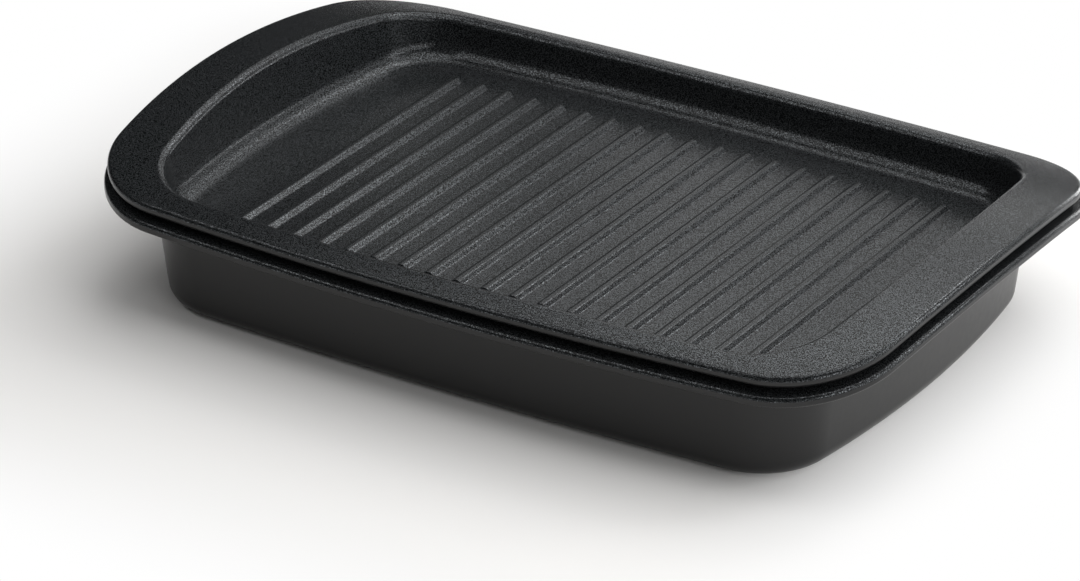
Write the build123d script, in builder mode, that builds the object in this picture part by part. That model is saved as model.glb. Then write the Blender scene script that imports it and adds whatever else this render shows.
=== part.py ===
from build123d import *
import math
import os

# Grill tray seated in a matching baking pan. Both are cast, with the same draft.
# Millimetres and degrees. X is the long way, Y the short way, Z is up.
# The origin is the centre of the pan's underside, on the surface that it stands on.

# Rim of the tray, seen from above: a rectangle whose four sides bow gently outwards
rim_length = 400.0  # over the middles of the two ends
rim_width = 260.0  # over the middles of the two long sides
rim_end_radius = 652.0
rim_side_radius = 2300.0
rim_corner_radius = 48.4

# The rim is arched: it is highest along the X axis and falls to both long sides
rim_level = 56.2  # top of the tray's rim at the middle of a long side
rim_rise = 16.7  # how much higher the rim lies at the middle of an end

# Drafted recess in the tray
end_margin = 28.9  # from the rim's end to the recess wall, at the level of the long sides
side_margin = 14.2  # from the rim's long side to the recess wall, at the same level
recess_end_radius = 554.0
recess_side_radius = 2440.0
recess_corner_radius = 34.0
recess_depth = 16.2  # from the rim's long sides down to the floor between the ribs
draft_angle = 6.5  # lean of every wall from the vertical
recess_floor_fillet = 8.2
recess_mouth = 2.2  # slope between the rim and the recess wall

# Walls
tray_wall = 3.0
pan_wall = 3.0
tray_flange = 3.0  # thickness of the tray's flat rim
tray_lip = 4.6  # the tray's rim with its turned-down lip
pan_flange = 3.0
pan_lip = 7.0
lip_thickness = 3.2
tray_edge = 1.3  # slope along the rim's upper edge
pan_edge = 1.1

# Ribs of the grill surface
rib_count = 19
rib_pitch = 14.22
rib_span = 177.6  # length of a rib at the foot
rib_width = 6.3  # at the foot
rib_height = 1.8
rib_flank = 47.5  # lean of a rib's flanks from the vertical
rib_end_draft = 12.0  # lean of its steeper ends
rib_crown = 1.3  # rounding along the top of its flanks
rib_foot = 1.1  # rounding along their foot

# Pan under the tray
pan_overhang = 1.7  # how far the pan's rim stands out past the tray's, all round
pan_drop = 8.2  # how far the pan's rim lies below the tray's
pan_base_fillet = 9.1
pan_mouth = 1.0
seat_clearance = 0.3  # between the tray's drafted wall and the pan's

# What follows from these
slope = math.tan(math.radians(draft_angle))
arch_radius = ((rim_width / 2) ** 2 + rim_rise**2) / (2 * rim_rise)
tray_crest = rim_level + rim_rise
pan_crest = tray_crest - pan_drop
tray_floor = rim_level - recess_depth
tray_base = tray_floor - tray_wall
above = tray_crest + 10  # a level clear above everything


def bowed_outline(length, width, end_radius, side_radius, corner, level):
    """What four large circles have in common, with its corners rounded."""
    end_centre = length / 2 - end_radius
    side_centre = width / 2 - side_radius
    with BuildSketch(Plane.XY.offset(level)) as outline:
        with Locations((-end_centre, 0)):
            Circle(end_radius)
        with Locations((end_centre, 0)):
            Circle(end_radius, mode=Mode.INTERSECT)
        with Locations((0, side_centre)):
            Circle(side_radius, mode=Mode.INTERSECT)
        with Locations((0, -side_centre)):
            Circle(side_radius, mode=Mode.INTERSECT)
        fillet(outline.vertices(), corner)
    return outline.sketch


def rim_outline(level, growth):
    """The rim seen from above, grown all round."""
    return bowed_outline(
        rim_length + 2 * growth,
        rim_width + 2 * growth,
        rim_end_radius + growth,
        rim_side_radius + growth,
        rim_corner_radius + growth,
        level,
    )


def wall_outline(level, growth):
    """The recess wall cut at one level, grown all round; the draft widens it upwards."""
    reach = growth + (level - rim_level) * slope
    return bowed_outline(
        rim_length - 2 * end_margin + 2 * reach,
        rim_width - 2 * side_margin + 2 * reach,
        recess_end_radius + reach,
        recess_side_radius + reach,
        recess_corner_radius + reach,
        level,
    )


def under_arch(crest, inset=0.0):
    """Everything below the rim's arched surface, or below a surface parallel to it."""
    with BuildPart() as block:
        with BuildSketch(Plane.YZ):
            with Locations((0, crest - arch_radius)):
                Circle(arch_radius - inset)
            with Locations((0, crest)):
                Rectangle(2 * rim_width, 2 * tray_crest, mode=Mode.INTERSECT)
        extrude(amount=rim_length, both=True)
    return block.part


def arched_rim(crest, growth, lip):
    """A slab of the rim's outline, as thick as its lip is tall, arched about the X axis."""
    with BuildPart() as slab:
        extrude(rim_outline(0, growth), amount=above)
        add(under_arch(crest), mode=Mode.INTERSECT)
        add(under_arch(crest, lip), mode=Mode.SUBTRACT)
    return slab.part


def drafted_block(level, growth):
    """The space inside the recess wall, grown all round, from one level upwards."""
    with BuildPart() as block:
        extrude(wall_outline(level, growth), amount=above - level)
        sides = block.faces().filter_by(GeomType.CYLINDER)
        draft(sides, Plane.XY.offset(level), -draft_angle)
    return block.part


def arched_face(piece, inset):
    """The face of a rim that lies parallel to its arched top, at a given depth."""

    def matches(face):
        round_face = face.geom_type == GeomType.CYLINDER
        return round_face and abs(face.radius - (arch_radius - inset)) < 0.01

    return piece.faces().filter_by(matches).sort_by(SortBy.AREA)[-1]


def ease_rim(piece, edge, mouth):
    """Ease a rim's upper edge and the mouth of the hollow that it goes round."""
    chamfer(arched_face(piece, 0).outer_wire().edges(), edge)
    chamfer(arched_face(piece, 0).inner_wires()[0].edges(), mouth)


# Distances of the walls from the recess wall, measured level
level_share = 1 / math.cos(math.radians(draft_angle))
tray_outside = tray_wall * level_share
pan_inside = tray_outside + seat_clearance * level_share
pan_outside = pan_inside + pan_wall * level_share

# Ribs: bars with sloping, rounded flanks that spring from a strip of floor, cut to length by a
# block with steeper ends
with BuildPart() as ribs:
    with BuildSketch(Plane.XZ) as rib_sections:
        with Locations((0, tray_floor)):
            with GridLocations(rib_pitch, 0, rib_count, 1):
                Trapezoid(
                    rib_width, rib_height, 90 - rib_flank, align=(Align.CENTER, Align.MIN)
                )
            Rectangle(
                (rib_count + 1) * rib_pitch, tray_wall / 2, align=(Align.CENTER, Align.MAX)
            )
        levels = rib_sections.vertices().group_by(Axis.Y)
        feet = levels[1].sort_by(Axis.X)[1:-1]
        fillet(levels[-1], rib_crown)
        fillet(feet, rib_foot)
    extrude(amount=rib_span, both=True)
    with BuildSketch(Plane.XY.offset(tray_floor)):
        Rectangle(rib_count * rib_pitch, rib_span)
    extrude(amount=rib_height, taper=rib_end_draft, mode=Mode.INTERSECT)

# Grill tray: arched rim with a hollow underside, drafted basin with its recess, then the ribs.
# The bevel under the basin keeps the wall as thick round the floor's edge as elsewhere.
tray_hollow = arched_rim(tray_crest, -lip_thickness, 2 * tray_lip) & under_arch(
    tray_crest, tray_flange
)
tray_bevel = (2 - math.sqrt(2)) * (recess_floor_fillet + tray_wall)

with BuildPart() as tray_basin:
    add(drafted_block(tray_base, tray_outside))
    chamfer(tray_basin.faces().sort_by(Axis.Z)[0].edges(), tray_bevel)
    add(under_arch(tray_crest, tray_flange / 2), mode=Mode.INTERSECT)

with BuildPart() as tray_recess:
    add(drafted_block(tray_floor, 0))
    fillet(tray_recess.faces().sort_by(Axis.Z)[0].edges(), recess_floor_fillet)

with BuildPart() as grill_tray:
    add(arched_rim(tray_crest, 0, tray_lip))
    add(tray_hollow, mode=Mode.SUBTRACT)
    add(tray_basin.part)
    add(tray_recess.part, mode=Mode.SUBTRACT)
    ease_rim(grill_tray, tray_edge, recess_mouth)
    add(ribs.part)

# Baking pan: the same rim and walls, one size larger, so that the tray seats inside it
pan_hollow = arched_rim(pan_crest, pan_overhang - lip_thickness, 2 * pan_lip) & under_arch(
    pan_crest, pan_flange
)

with BuildPart() as pan_shell:
    add(drafted_block(0, pan_outside))
    fillet(pan_shell.faces().sort_by(Axis.Z)[0].edges(), pan_base_fillet)
    add(under_arch(pan_crest, pan_flange / 2), mode=Mode.INTERSECT)

with BuildPart() as pan_cavity:
    add(drafted_block(pan_wall, pan_inside))
    fillet(pan_cavity.faces().sort_by(Axis.Z)[0].edges(), pan_base_fillet - pan_wall)

with BuildPart() as baking_pan:
    add(arched_rim(pan_crest, pan_overhang, pan_lip))
    add(pan_hollow, mode=Mode.SUBTRACT)
    add(pan_shell.part)
    add(pan_cavity.part, mode=Mode.SUBTRACT)
    ease_rim(baking_pan, pan_edge, pan_mouth)

grill_tray.part.label = "grill_tray"
baking_pan.part.label = "baking_pan"

os.makedirs("parts", exist_ok=True)
export_step(grill_tray.part, "parts/grill_tray.step")
export_step(baking_pan.part, "parts/baking_pan.step")
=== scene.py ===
import math
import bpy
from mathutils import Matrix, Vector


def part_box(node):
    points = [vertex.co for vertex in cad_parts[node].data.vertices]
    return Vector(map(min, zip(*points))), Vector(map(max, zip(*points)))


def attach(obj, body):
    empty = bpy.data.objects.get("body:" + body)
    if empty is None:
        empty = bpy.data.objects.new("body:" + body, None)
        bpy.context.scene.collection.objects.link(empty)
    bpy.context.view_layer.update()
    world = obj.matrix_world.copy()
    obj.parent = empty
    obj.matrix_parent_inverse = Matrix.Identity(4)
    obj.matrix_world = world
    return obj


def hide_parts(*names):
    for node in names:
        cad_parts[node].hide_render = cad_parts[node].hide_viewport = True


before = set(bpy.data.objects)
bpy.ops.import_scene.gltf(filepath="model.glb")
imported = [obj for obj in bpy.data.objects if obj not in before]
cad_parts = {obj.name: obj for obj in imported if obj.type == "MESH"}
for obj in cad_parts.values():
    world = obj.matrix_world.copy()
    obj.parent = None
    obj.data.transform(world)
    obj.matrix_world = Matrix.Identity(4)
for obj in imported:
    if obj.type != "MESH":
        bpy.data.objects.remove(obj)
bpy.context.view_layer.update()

from types import SimpleNamespace

import bmesh
import bpy
from mathutils import Matrix, Vector

# A ribbed grill tray on its baking pan, on a pale floor in soft light. Metres throughout.
tray_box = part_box("grill_tray")
pan_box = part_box("baking_pan")

# Rim outline, seen from above: a rectangle with bowed sides and rounded corners
rim_end_radius = 0.652
rim_side_radius = 2.300
rim_corner_radius = 0.0484
rim_rise = 0.0167  # how much higher the rim lies at the middle of an end

# Recess wall, measured at the level of the rim's long sides
end_margin = 0.0289
side_margin = 0.0142
recess_end_radius = 0.554
recess_side_radius = 2.440
recess_corner_radius = 0.034
recess_depth = 0.0162
draft = math.tan(math.radians(6.5))

# Walls and roundings
wall = 0.0030
seat_clearance = 0.0003
flange = 0.0030
lip_thickness = 0.0032
lip_inner_rounding = 0.0003
root_rounding = 0.0020
rim_tangent = 0.006  # length along the arched top that gives its direction at a corner
root_tangent = 0.003  # the same, along the rim's underside
floor_tangent = 0.03  # the same, along the flat floor or base

# Ribs of the grill surface
rib_count = 19
rib_pitch = 0.01422
rib_span = 0.1776
rib_width = 0.0063  # at the foot
rib_height = 0.0018
rib_flank = math.radians(42.5)  # above the floor
rib_end = math.radians(78.0)  # above the floor
rib_corner = 0.0016
rib_foot_rounding = 0.0011
rib_crown_rounding = 0.00136

# How finely the shapes are divided
end_steps = 12
corner_steps = 20
side_steps = 14
rib_steps = 12
fillet_steps = 10
mouth_steps = 8
edge_steps = 8
lip_steps = 6
lip_inner_steps = 2
root_steps = 5
meeting_rounds = 6  # rounds of approach to the place where wall and arch meet
flange_shares = (0.25, 0.5, 0.75)  # places between the recess's mouth and the rim's edge
rib_row_shares = (-0.45, -0.3, -0.15, 0.0, 0.15, 0.3, 0.45)  # places along a rib

# Camera: the photograph's viewing angle
view_azimuth = math.radians(31.86)
view_elevation = math.radians(26.68)
view_roll = math.radians(0.09)
view_target = Vector((-0.0223, -0.0073, 0.0))
view_distance = 2.3396
view_range = 50.0
focal_length = 175.34
sensor_width = 36.0

# Light: soft boxes round the set, each with its centre, the way it faces, its width and height,
# and its brightness in watts per square metre
softboxes = {
    "above_front": ((-0.6, -0.55, 1.0), (0, 0, -1), 0.6, 0.9, 5.4),
    "above_left": ((-0.45, 0.35, 1.0), (0, 0, -1), 0.3, 0.3, 6.9),
    "above_right": ((0.3, 0.05, 1.0), (0, 0, -1), 1.2, 0.9, 5.8),
    "right": ((0.9, -0.25, 0.3), (-1, 0, 0), 1.5, 0.6, 6.9),
    "back_far_right": ((0.75, 0.5, 0.65), (0, -1, 0), 0.3, 0.7, 18.4),
    "back_right": ((0.15, 0.5, 0.725), (0, -1, 0), 0.3, 0.55, 15.9),
    "back_left": ((-0.225, 0.5, 0.825), (0, -1, 0), 0.45, 0.35, 7.3),
    "back_far_left": ((-0.375, 0.5, 0.475), (0, -1, 0), 0.15, 0.35, 2.6),
    "back_middle": ((-0.15, 0.5, 0.55), (0, -1, 0), 0.3, 0.2, 5.4),
    "back_low": ((0.15, 0.5, 0.3), (0, -1, 0), 0.9, 0.3, 3.1),
    "back_strip": ((0.225, 0.5, 0.075), (0, -1, 0), 0.15, 0.15, 18.4),
}
world_level = 0.02  # of the even light from all round

# Colours, linear
textured_colour = (0.0043, 0.0050, 0.0055, 1.0)
fleck_colour = (0.106, 0.113, 0.118, 1.0)
smooth_colour = (0.0092, 0.0092, 0.0092, 1.0)
floor_colour = (0.93, 0.92, 0.905, 1.0)

# Textured coating: flecks in a near-black ground
textured_gloss = 0.15  # specular level
textured_roughness = 0.20
fleck_size = 0.00048
fleck_detail = 1.0
fleck_threshold = 0.57  # share of the noise's range above which a fleck shows
fleck_softness = 0.08
fleck_metal = 0.8  # how metallic a fleck is
grit_size = 0.0006
grit_detail = 2.0
grit_depth = 0.00006

# Smooth coating, with faint clouds in its sheen
smooth_gloss = 0.39
smooth_roughness = 0.30
smooth_roughness_range = 0.05  # either way
cloud_size = 0.004
cloud_detail = 3.0
cloud_depth = 0.00002

# Floor: lit and shaded in a rectangle round the object, fading to plain white further out
floor_half = 12.0  # of the floor's own width
shade_centre = (-0.046, -0.033, 0.0)
shade_half = (0.174, 0.166)
shade_fade = 0.118


def least_half(box):
    """Half the length and width of a box about the origin, and its top."""
    low, high = box
    return Vector((min(-low[0], high[0]), min(-low[1], high[1]), high[2]))


# What follows from these
tray_half = least_half(tray_box)
pan_half = least_half(pan_box)
rim_level = tray_half[2] - rim_rise
arch_radius = (tray_half[1] ** 2 + rim_rise**2) / (2 * rim_rise)
tray_floor = rim_level - recess_depth
level_share = math.hypot(1.0, draft)  # a drafted wall's thickness, measured level
tray_outside = wall * level_share
pan_inside = tray_outside + seat_clearance * level_share
rib_foot_reach = rib_foot_rounding * math.tan(rib_flank / 2)
rib_crown_reach = rib_crown_rounding * math.tan(rib_flank / 2)
rib_shoulder = rib_height / math.tan(rib_flank)
rib_end_stretch = math.tan(rib_end) / math.tan(rib_flank)

tray_form = SimpleNamespace(
    crest=tray_half[2],
    growth=0.0,
    lip=0.0057,
    lip_rounding=0.0028,
    edge_rounding=0.0022,
    mouth_rounding=0.0037,
    inside=0.0,
    floor=tray_floor,
    floor_rounding=0.0100,
    base=tray_floor - wall,
    base_rounding=0.0130,
)
pan_form = SimpleNamespace(
    crest=pan_half[2],
    growth=pan_half[0] - tray_half[0],
    lip=0.0045,
    lip_rounding=0.0012,
    edge_rounding=0.0019,
    mouth_rounding=0.0017,
    inside=pan_inside,
    floor=wall,
    floor_rounding=0.0061,
    base=0.0,
    base_rounding=0.0091,
)


def quarter_outline(half_length, half_width, end_radius, side_radius, corner):
    """A quarter of a bowed rectangle, from the X axis to the Y axis: places with directions."""
    end_centre = Vector((half_length - end_radius, 0.0))
    side_centre = Vector((0.0, half_width - side_radius))
    apart = side_centre - end_centre
    end_reach = end_radius - corner
    side_reach = side_radius - corner
    along = (end_reach**2 - side_reach**2 + apart.length_squared) / (2 * apart.length)
    across = math.sqrt(end_reach**2 - along**2)
    unit = apart.normalized()
    corner_centre = end_centre + unit * along + Vector((unit.y, -unit.x)) * across
    if corner_centre.x < 0 or corner_centre.y < 0:
        corner_centre = end_centre + unit * along - Vector((unit.y, -unit.x)) * across
    turn_in = math.atan2(corner_centre.y - end_centre.y, corner_centre.x - end_centre.x)
    turn_out = math.atan2(corner_centre.y - side_centre.y, corner_centre.x - side_centre.x)
    stretches = (
        (end_centre, end_radius, 0.0, turn_in, end_steps),
        (corner_centre, corner, turn_in, turn_out, corner_steps),
        (side_centre, side_radius, turn_out, math.pi / 2, side_steps),
    )
    quarter = []
    for centre, radius, start, end, steps in stretches:
        for step in range(steps):
            angle = start + (end - start) * step / steps
            way = Vector((math.cos(angle), math.sin(angle)))
            quarter.append((centre + way * radius, way))
    quarter.append((Vector((0.0, half_width)), Vector((0.0, 1.0))))
    return quarter


def whole_outline(*shape):
    """All round a bowed rectangle, anticlockwise."""
    quarter = quarter_outline(*shape)
    turned = quarter[::-1]
    outline = []
    for part, x, y in ((quarter, 1, 1), (turned, -1, 1), (quarter, -1, -1), (turned, 1, -1)):
        mirror = Vector((x, y))
        outline += [(place * mirror, way * mirror) for place, way in part[:-1]]
    return outline


def rounded(before, corner, after, radius, steps):
    """Points of the arc that rounds the corner of a path."""
    to_before = (before - corner).normalized()
    to_after = (after - corner).normalized()
    half = to_before.angle(to_after) / 2
    middle = (to_before + to_after).normalized()
    centre = corner + middle * radius / math.sin(half)
    first = corner + to_before * radius / math.tan(half) - centre
    last = corner + to_after * radius / math.tan(half) - centre
    sweep = first.angle_signed(last)
    return [centre + Matrix.Rotation(-sweep * i / steps, 2) @ first for i in range(steps + 1)]


def arch_height(form, y, inset=0.0):
    """Height of a rim's arched top, or of a surface parallel to it below."""
    return form.crest - arch_radius + math.sqrt((arch_radius - inset) ** 2 - y**2)


def wall_reach(growth, z):
    """How far the drafted wall stands out from the recess outline at a height."""
    return growth + (z - rim_level) * draft


def wall_meets_arch(form, station, growth, inset):
    """Where the wall meets the rim's top or underside, as reach and height."""
    place, way = station
    z = arch_height(form, place.y, inset)
    for _ in range(meeting_rounds):
        z = arch_height(form, place.y + way.y * wall_reach(growth, z), inset)
    return Vector((wall_reach(growth, z), z))


def section(form, recess_station, rim_station):
    """One section through a casting: from its floor to the rim's edge, and on to its base."""
    far_in = Vector((-floor_tangent, 0.0))

    def on_arch(station, reach, inset=0.0):
        place, way = station
        return Vector((reach, arch_height(form, place.y + way.y * reach, inset)))

    def set_out(station, points):
        place, way = station
        return [(*(place + way * p.x), p.y) for p in points]

    mouth = wall_meets_arch(form, recess_station, form.inside, 0.0)
    past_mouth = on_arch(recess_station, mouth.x + rim_tangent)
    foot = Vector((wall_reach(form.inside, form.floor), form.floor))
    inside = rounded(foot + far_in, foot, mouth, form.floor_rounding, fillet_steps)
    inside += rounded(foot, mouth, past_mouth, form.mouth_rounding, mouth_steps)

    edge = form.growth
    top = on_arch(rim_station, edge)
    outer_foot = on_arch(rim_station, edge, form.lip)
    inner_foot = on_arch(rim_station, edge - lip_thickness, form.lip)
    inner_root = on_arch(rim_station, edge - lip_thickness, flange)
    before_edge = on_arch(rim_station, edge - rim_tangent)
    rim = rounded(before_edge, top, outer_foot, form.edge_rounding, edge_steps)
    lip = rounded(top, outer_foot, inner_foot, form.lip_rounding, lip_steps)
    lip += rounded(outer_foot, inner_foot, inner_root, lip_inner_rounding, lip_inner_steps)
    lip.append(inner_root)

    outside = form.inside + wall * level_share
    root = wall_meets_arch(form, recess_station, outside, flange)
    past_root = on_arch(recess_station, root.x + root_tangent, flange)
    heel = Vector((wall_reach(outside, form.base), form.base))
    under = rounded(past_root, root, heel, root_rounding, root_steps)
    under += rounded(root, heel, heel + far_in, form.base_rounding, fillet_steps)

    inside_points = set_out(recess_station, inside)
    rim_points = set_out(rim_station, rim)
    bridge = []
    for share in flange_shares:
        place = Vector(inside_points[-1]).lerp(Vector(rim_points[0]), share)
        bridge.append((place.x, place.y, arch_height(form, place.y)))
    upper_side = inside_points + bridge + rim_points
    return upper_side, set_out(rim_station, lip) + set_out(recess_station, under)


def rib_profile(depth):
    """Height of a rib's surface at a distance inside its foot."""
    run = depth - rib_shoulder - rib_crown_reach
    if depth <= -rib_foot_reach:
        return 0.0
    if depth < rib_foot_reach * math.cos(rib_flank):
        arc = math.sqrt(rib_foot_rounding**2 - (depth + rib_foot_reach) ** 2)
        return rib_foot_rounding - arc
    if depth < rib_shoulder - rib_crown_reach * math.cos(rib_flank):
        return depth * math.tan(rib_flank)
    if run < 0.0:
        arc = math.sqrt(rib_crown_rounding**2 - run**2)
        return rib_height - rib_crown_rounding + arc
    return rib_height


def rib_depth(x, y):
    """Distance of a place inside the foot of the nearest rib, stretched at the steeper ends."""
    middle = (rib_count - 1) / 2
    near = min(max(round(x / rib_pitch + middle), 0), rib_count - 1) - middle
    side = rib_width / 2 - abs(x - near * rib_pitch)
    end = (rib_span / 2 - abs(y)) * rib_end_stretch
    if side < rib_corner and end < rib_corner:
        return rib_corner - math.hypot(rib_corner - side, rib_corner - end)
    return min(side, end)


def rib_grid():
    """Lines along and across the ribs, close together on every flank and end."""
    span = rib_shoulder + rib_crown_reach + rib_foot_reach
    stops = [span * i / rib_steps - rib_foot_reach for i in range(rib_steps + 1)]
    columns = [-rib_pitch * rib_count / 2]
    for rib in range(rib_count):
        middle = (rib - (rib_count - 1) / 2) * rib_pitch
        offsets = [stop - rib_width / 2 for stop in stops]
        columns += [middle + offset for offset in offsets + [0.0]]
        columns += [middle - offset for offset in reversed(offsets)]
        columns += [middle + rib_pitch / 2]
    ends = [stop / rib_end_stretch - rib_span / 2 for stop in stops]
    ends.insert(0, ends[0] - rib_corner)
    inner = [rib_span * share for share in rib_row_shares]
    rows = ends + inner + [-end for end in reversed(ends)]
    return columns, rows


def add_rib_floor(mesh, floor):
    """The ribbed middle of the floor, and its border for the flat ground round it."""
    columns, rows = rib_grid()
    grid = []
    for y in rows:
        heights = [floor + rib_profile(rib_depth(x, y)) for x in columns]
        grid.append([mesh.verts.new((x, y, z)) for x, z in zip(columns, heights)])
    for low, high in zip(grid, grid[1:]):
        for i in range(len(columns) - 1):
            mesh.faces.new((low[i], low[i + 1], high[i + 1], high[i]))
    right = [row[-1] for row in grid[1:]]
    top = grid[-1][-2::-1]
    left = [row[0] for row in grid[-2::-1]]
    return grid[0] + right + top + left[:-1]


def loop_edges(mesh, loop):
    """The edges along a closed loop of points, made where they are missing."""
    edges = []
    for a, b in zip(loop, loop[1:] + loop[:1]):
        edges.append(mesh.edges.get((a, b)) or mesh.edges.new((a, b)))
    return edges


def cast_shape(name, form, recess, rim, ribbed, coatings):
    """A whole casting as one closed mesh, with one coating above and the other below."""
    mesh = bmesh.new()
    stations = [section(form, a, b) for a, b in zip(recess, rim)]
    rings = [[mesh.verts.new(point) for point in upper + lower] for upper, lower in stations]
    edge = len(stations[0][0]) - 1
    for here, there in zip(rings, rings[1:] + rings[:1]):
        for i in range(len(here) - 1):
            face = mesh.faces.new((here[i], there[i], there[i + 1], here[i + 1]))
            face.material_index = int(i >= edge)
    floor_edges = loop_edges(mesh, [ring[0] for ring in rings])
    if ribbed:
        floor_edges += loop_edges(mesh, add_rib_floor(mesh, form.floor))
    bmesh.ops.triangle_fill(mesh, edges=floor_edges, use_beauty=True)
    base_edges = loop_edges(mesh, [ring[-1] for ring in rings])
    base = bmesh.ops.triangle_fill(mesh, edges=base_edges, use_beauty=True)
    for part in base["geom"]:
        if isinstance(part, bmesh.types.BMFace):
            part.material_index = 1
    bmesh.ops.recalc_face_normals(mesh, faces=mesh.faces)
    for face in mesh.faces:
        face.smooth = True
    data = bpy.data.meshes.new(name)
    mesh.to_mesh(data)
    mesh.free()
    for material in coatings:
        data.materials.append(material)
    piece = bpy.data.objects.new(name, data)
    bpy.context.scene.collection.objects.link(piece)
    shading = piece.modifiers.new("shading", "WEIGHTED_NORMAL")
    shading.keep_sharp = True
    return piece


def set_camera():
    """A camera aimed at the target from the photograph's direction."""
    a, e = view_azimuth, view_elevation
    back = Vector((math.sin(a) * math.cos(e), -math.cos(a) * math.cos(e), math.sin(e)))
    right = Vector((math.cos(a), math.sin(a), 0.0))
    up = back.cross(right)
    turned_right = math.cos(view_roll) * right + math.sin(view_roll) * up
    turned_up = back.cross(turned_right)
    data = bpy.data.cameras.new("camera")
    data.lens = focal_length
    data.sensor_width = sensor_width
    data.sensor_fit = "HORIZONTAL"
    data.clip_end = view_range
    camera = bpy.data.objects.new("camera", data)
    turn = Matrix((turned_right, turned_up, back)).transposed().to_4x4()
    camera.matrix_world = Matrix.Translation(view_target + back * view_distance) @ turn
    bpy.context.scene.collection.objects.link(camera)
    bpy.context.scene.camera = camera


def add_softbox(name, centre, facing, width, height, brightness):
    """A rectangular soft light, which shows itself only in what it lights."""
    data = bpy.data.lights.new(name, "AREA")
    data.shape = "RECTANGLE"
    data.size, data.size_y = width, height
    data.energy = brightness * width * height
    light = bpy.data.objects.new(name, data)
    light.location = centre
    light.rotation_euler = Vector(facing).to_track_quat("-Z", "Y").to_euler()
    light.visible_camera = False
    bpy.context.scene.collection.objects.link(light)


def node_tree(material):
    """The material's empty node tree with its output."""
    material.use_nodes = True
    nodes = material.node_tree.nodes
    nodes.clear()
    return nodes, material.node_tree.links, nodes.new("ShaderNodeOutputMaterial")


def coating(name, gloss):
    """The coating's shader, with its place on the object and what carries on from there."""
    material = bpy.data.materials.new(name)
    nodes, links, output = node_tree(material)
    shader = nodes.new("ShaderNodeBsdfPrincipled")
    shader.inputs["Specular IOR Level"].default_value = gloss
    links.new(shader.outputs["BSDF"], output.inputs["Surface"])
    place = nodes.new("ShaderNodeTexCoord")
    return material, nodes, links, shader, place.outputs["Object"]


def grain_noise(nodes, links, place, size, detail):
    """Even, fine noise with grains of about the given size."""
    noise = nodes.new("ShaderNodeTexNoise")
    noise.inputs["Scale"].default_value = 1.0 / size
    noise.inputs["Detail"].default_value = detail
    links.new(place, noise.inputs["Vector"])
    return noise.outputs["Fac"]


def add_bump(nodes, links, shader, height, depth):
    """Raise the grain from the surface."""
    bump = nodes.new("ShaderNodeBump")
    bump.inputs["Strength"].default_value = 1.0
    bump.inputs["Distance"].default_value = depth
    links.new(height, bump.inputs["Height"])
    links.new(bump.outputs["Normal"], shader.inputs["Normal"])


def textured_coating():
    """The non-stick coating of the upper sides: near-black, gritty, with tiny metallic flecks."""
    material, nodes, links, shader, place = coating("textured_coating", textured_gloss)
    shader.inputs["Roughness"].default_value = textured_roughness
    mask = nodes.new("ShaderNodeMapRange")
    mask.inputs["From Min"].default_value = fleck_threshold - fleck_softness
    mask.inputs["From Max"].default_value = fleck_threshold + fleck_softness
    flecks = grain_noise(nodes, links, place, fleck_size, fleck_detail)
    links.new(flecks, mask.inputs["Value"])
    metal = nodes.new("ShaderNodeMath")
    metal.operation = "MULTIPLY"
    metal.inputs[1].default_value = fleck_metal
    links.new(mask.outputs["Result"], metal.inputs[0])
    links.new(metal.outputs["Value"], shader.inputs["Metallic"])
    mix = nodes.new("ShaderNodeMix")
    mix.data_type = "RGBA"
    mix.inputs["A"].default_value = textured_colour
    mix.inputs["B"].default_value = fleck_colour
    links.new(mask.outputs["Result"], mix.inputs["Factor"])
    links.new(mix.outputs["Result"], shader.inputs["Base Color"])
    grit = grain_noise(nodes, links, place, grit_size, grit_detail)
    add_bump(nodes, links, shader, grit, grit_depth)
    return material


def smooth_coating():
    """The enamel-like coating of the lower sides, with only a faint unevenness in its sheen."""
    material, nodes, links, shader, place = coating("smooth_coating", smooth_gloss)
    shader.inputs["Base Color"].default_value = smooth_colour
    clouds = grain_noise(nodes, links, place, cloud_size, cloud_detail)
    sheen = nodes.new("ShaderNodeMapRange")
    sheen.inputs["To Min"].default_value = smooth_roughness - smooth_roughness_range
    sheen.inputs["To Max"].default_value = smooth_roughness + smooth_roughness_range
    links.new(clouds, sheen.inputs["Value"])
    links.new(sheen.outputs["Result"], shader.inputs["Roughness"])
    add_bump(nodes, links, shader, clouds, cloud_depth)
    return material


def vector_step(nodes, links, operation, vector, second=(0.0, 0.0, 0.0)):
    """One step of vector maths on the given vector."""
    node = nodes.new("ShaderNodeVectorMath")
    node.operation = operation
    node.inputs[1].default_value = second
    links.new(vector, node.inputs[0])
    return node.outputs["Value" if operation == "LENGTH" else "Vector"]


def faded_share(nodes, links):
    """How far the floor has faded to white: nothing in the shade rectangle, all well outside."""
    place = nodes.new("ShaderNodeTexCoord").outputs["Object"]
    offset = vector_step(nodes, links, "SUBTRACT", place, shade_centre)
    size = vector_step(nodes, links, "ABSOLUTE", offset)
    over = vector_step(nodes, links, "SUBTRACT", size, (*shade_half, 0.0))
    outside = vector_step(nodes, links, "MAXIMUM", over)
    fade = nodes.new("ShaderNodeMapRange")
    fade.interpolation_type = "SMOOTHSTEP"
    fade.inputs["From Max"].default_value = shade_fade
    links.new(vector_step(nodes, links, "LENGTH", outside), fade.inputs["Value"])
    return fade.outputs["Result"]


def seen_share(nodes, links):
    """One for the rays in which the floor is seen, straight or in a reflection, or else nought."""
    path = nodes.new("ShaderNodeLightPath")
    seen = path.outputs["Is Camera Ray"]
    for ray in ("Is Glossy Ray", "Is Transmission Ray"):
        either = nodes.new("ShaderNodeMath")
        either.operation = "MAXIMUM"
        links.new(seen, either.inputs[0])
        links.new(path.outputs[ray], either.inputs[1])
        seen = either.outputs["Value"]
    return seen


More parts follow.
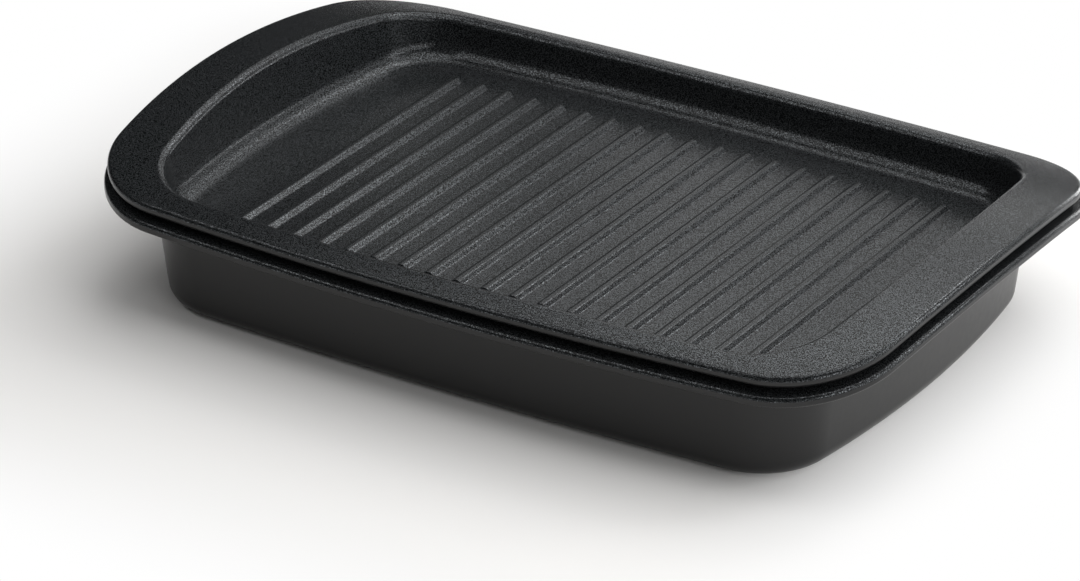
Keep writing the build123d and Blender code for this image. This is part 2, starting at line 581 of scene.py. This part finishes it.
def floor_material():
    """A pale matt floor that keeps the shadow near the object and is plain white further out."""
    material = bpy.data.materials.new("floor")
    nodes, links, output = node_tree(material)
    matt = nodes.new("ShaderNodeBsdfDiffuse")
    matt.inputs["Color"].default_value = floor_colour
    white = nodes.new("ShaderNodeEmission")
    white.inputs["Strength"].default_value = 1.0
    share = nodes.new("ShaderNodeMath")
    share.operation = "MULTIPLY"
    links.new(seen_share(nodes, links), share.inputs[0])
    links.new(faded_share(nodes, links), share.inputs[1])
    mix = nodes.new("ShaderNodeMixShader")
    links.new(share.outputs["Value"], mix.inputs["Fac"])
    links.new(matt.outputs["BSDF"], mix.inputs[1])
    links.new(white.outputs["Emission"], mix.inputs[2])
    links.new(mix.outputs["Shader"], output.inputs["Surface"])
    return material


def lay_floor(half):
    """A wide plane just under the pan."""
    mesh = bpy.data.meshes.new("floor")
    corners = [(-half, -half, 0), (half, -half, 0), (half, half, 0), (-half, half, 0)]
    mesh.from_pydata(corners, [], [(0, 1, 2, 3)])
    mesh.materials.append(floor_material())
    floor = bpy.data.objects.new("floor", mesh)
    bpy.context.scene.collection.objects.link(floor)


def light_world():
    """A dim, even light from all round."""
    world = bpy.data.worlds.new("world")
    world.use_nodes = True
    bpy.context.scene.world = world
    background = world.node_tree.nodes["Background"]
    background.inputs["Color"].default_value = (1, 1, 1, 1)
    background.inputs["Strength"].default_value = world_level


set_camera()
lay_floor(floor_half)
light_world()
for name, softbox in softboxes.items():
    add_softbox(name, *softbox)

recess_outline = whole_outline(
    tray_half[0] - end_margin,
    tray_half[1] - side_margin,
    recess_end_radius,
    recess_side_radius,
    recess_corner_radius,
)
rim_outline = whole_outline(
    tray_half[0],
    tray_half[1],
    rim_end_radius,
    rim_side_radius,
    rim_corner_radius,
)

coatings = (textured_coating(), smooth_coating())

tray = cast_shape("grill_tray_cast", tray_form, recess_outline, rim_outline, True, coatings)
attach(tray, "tray")
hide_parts("grill_tray")

pan = cast_shape("baking_pan_cast", pan_form, recess_outline, rim_outline, False, coatings)
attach(pan, "pan")
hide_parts("baking_pan")

bpy.context.scene.view_settings.view_transform = "Standard"
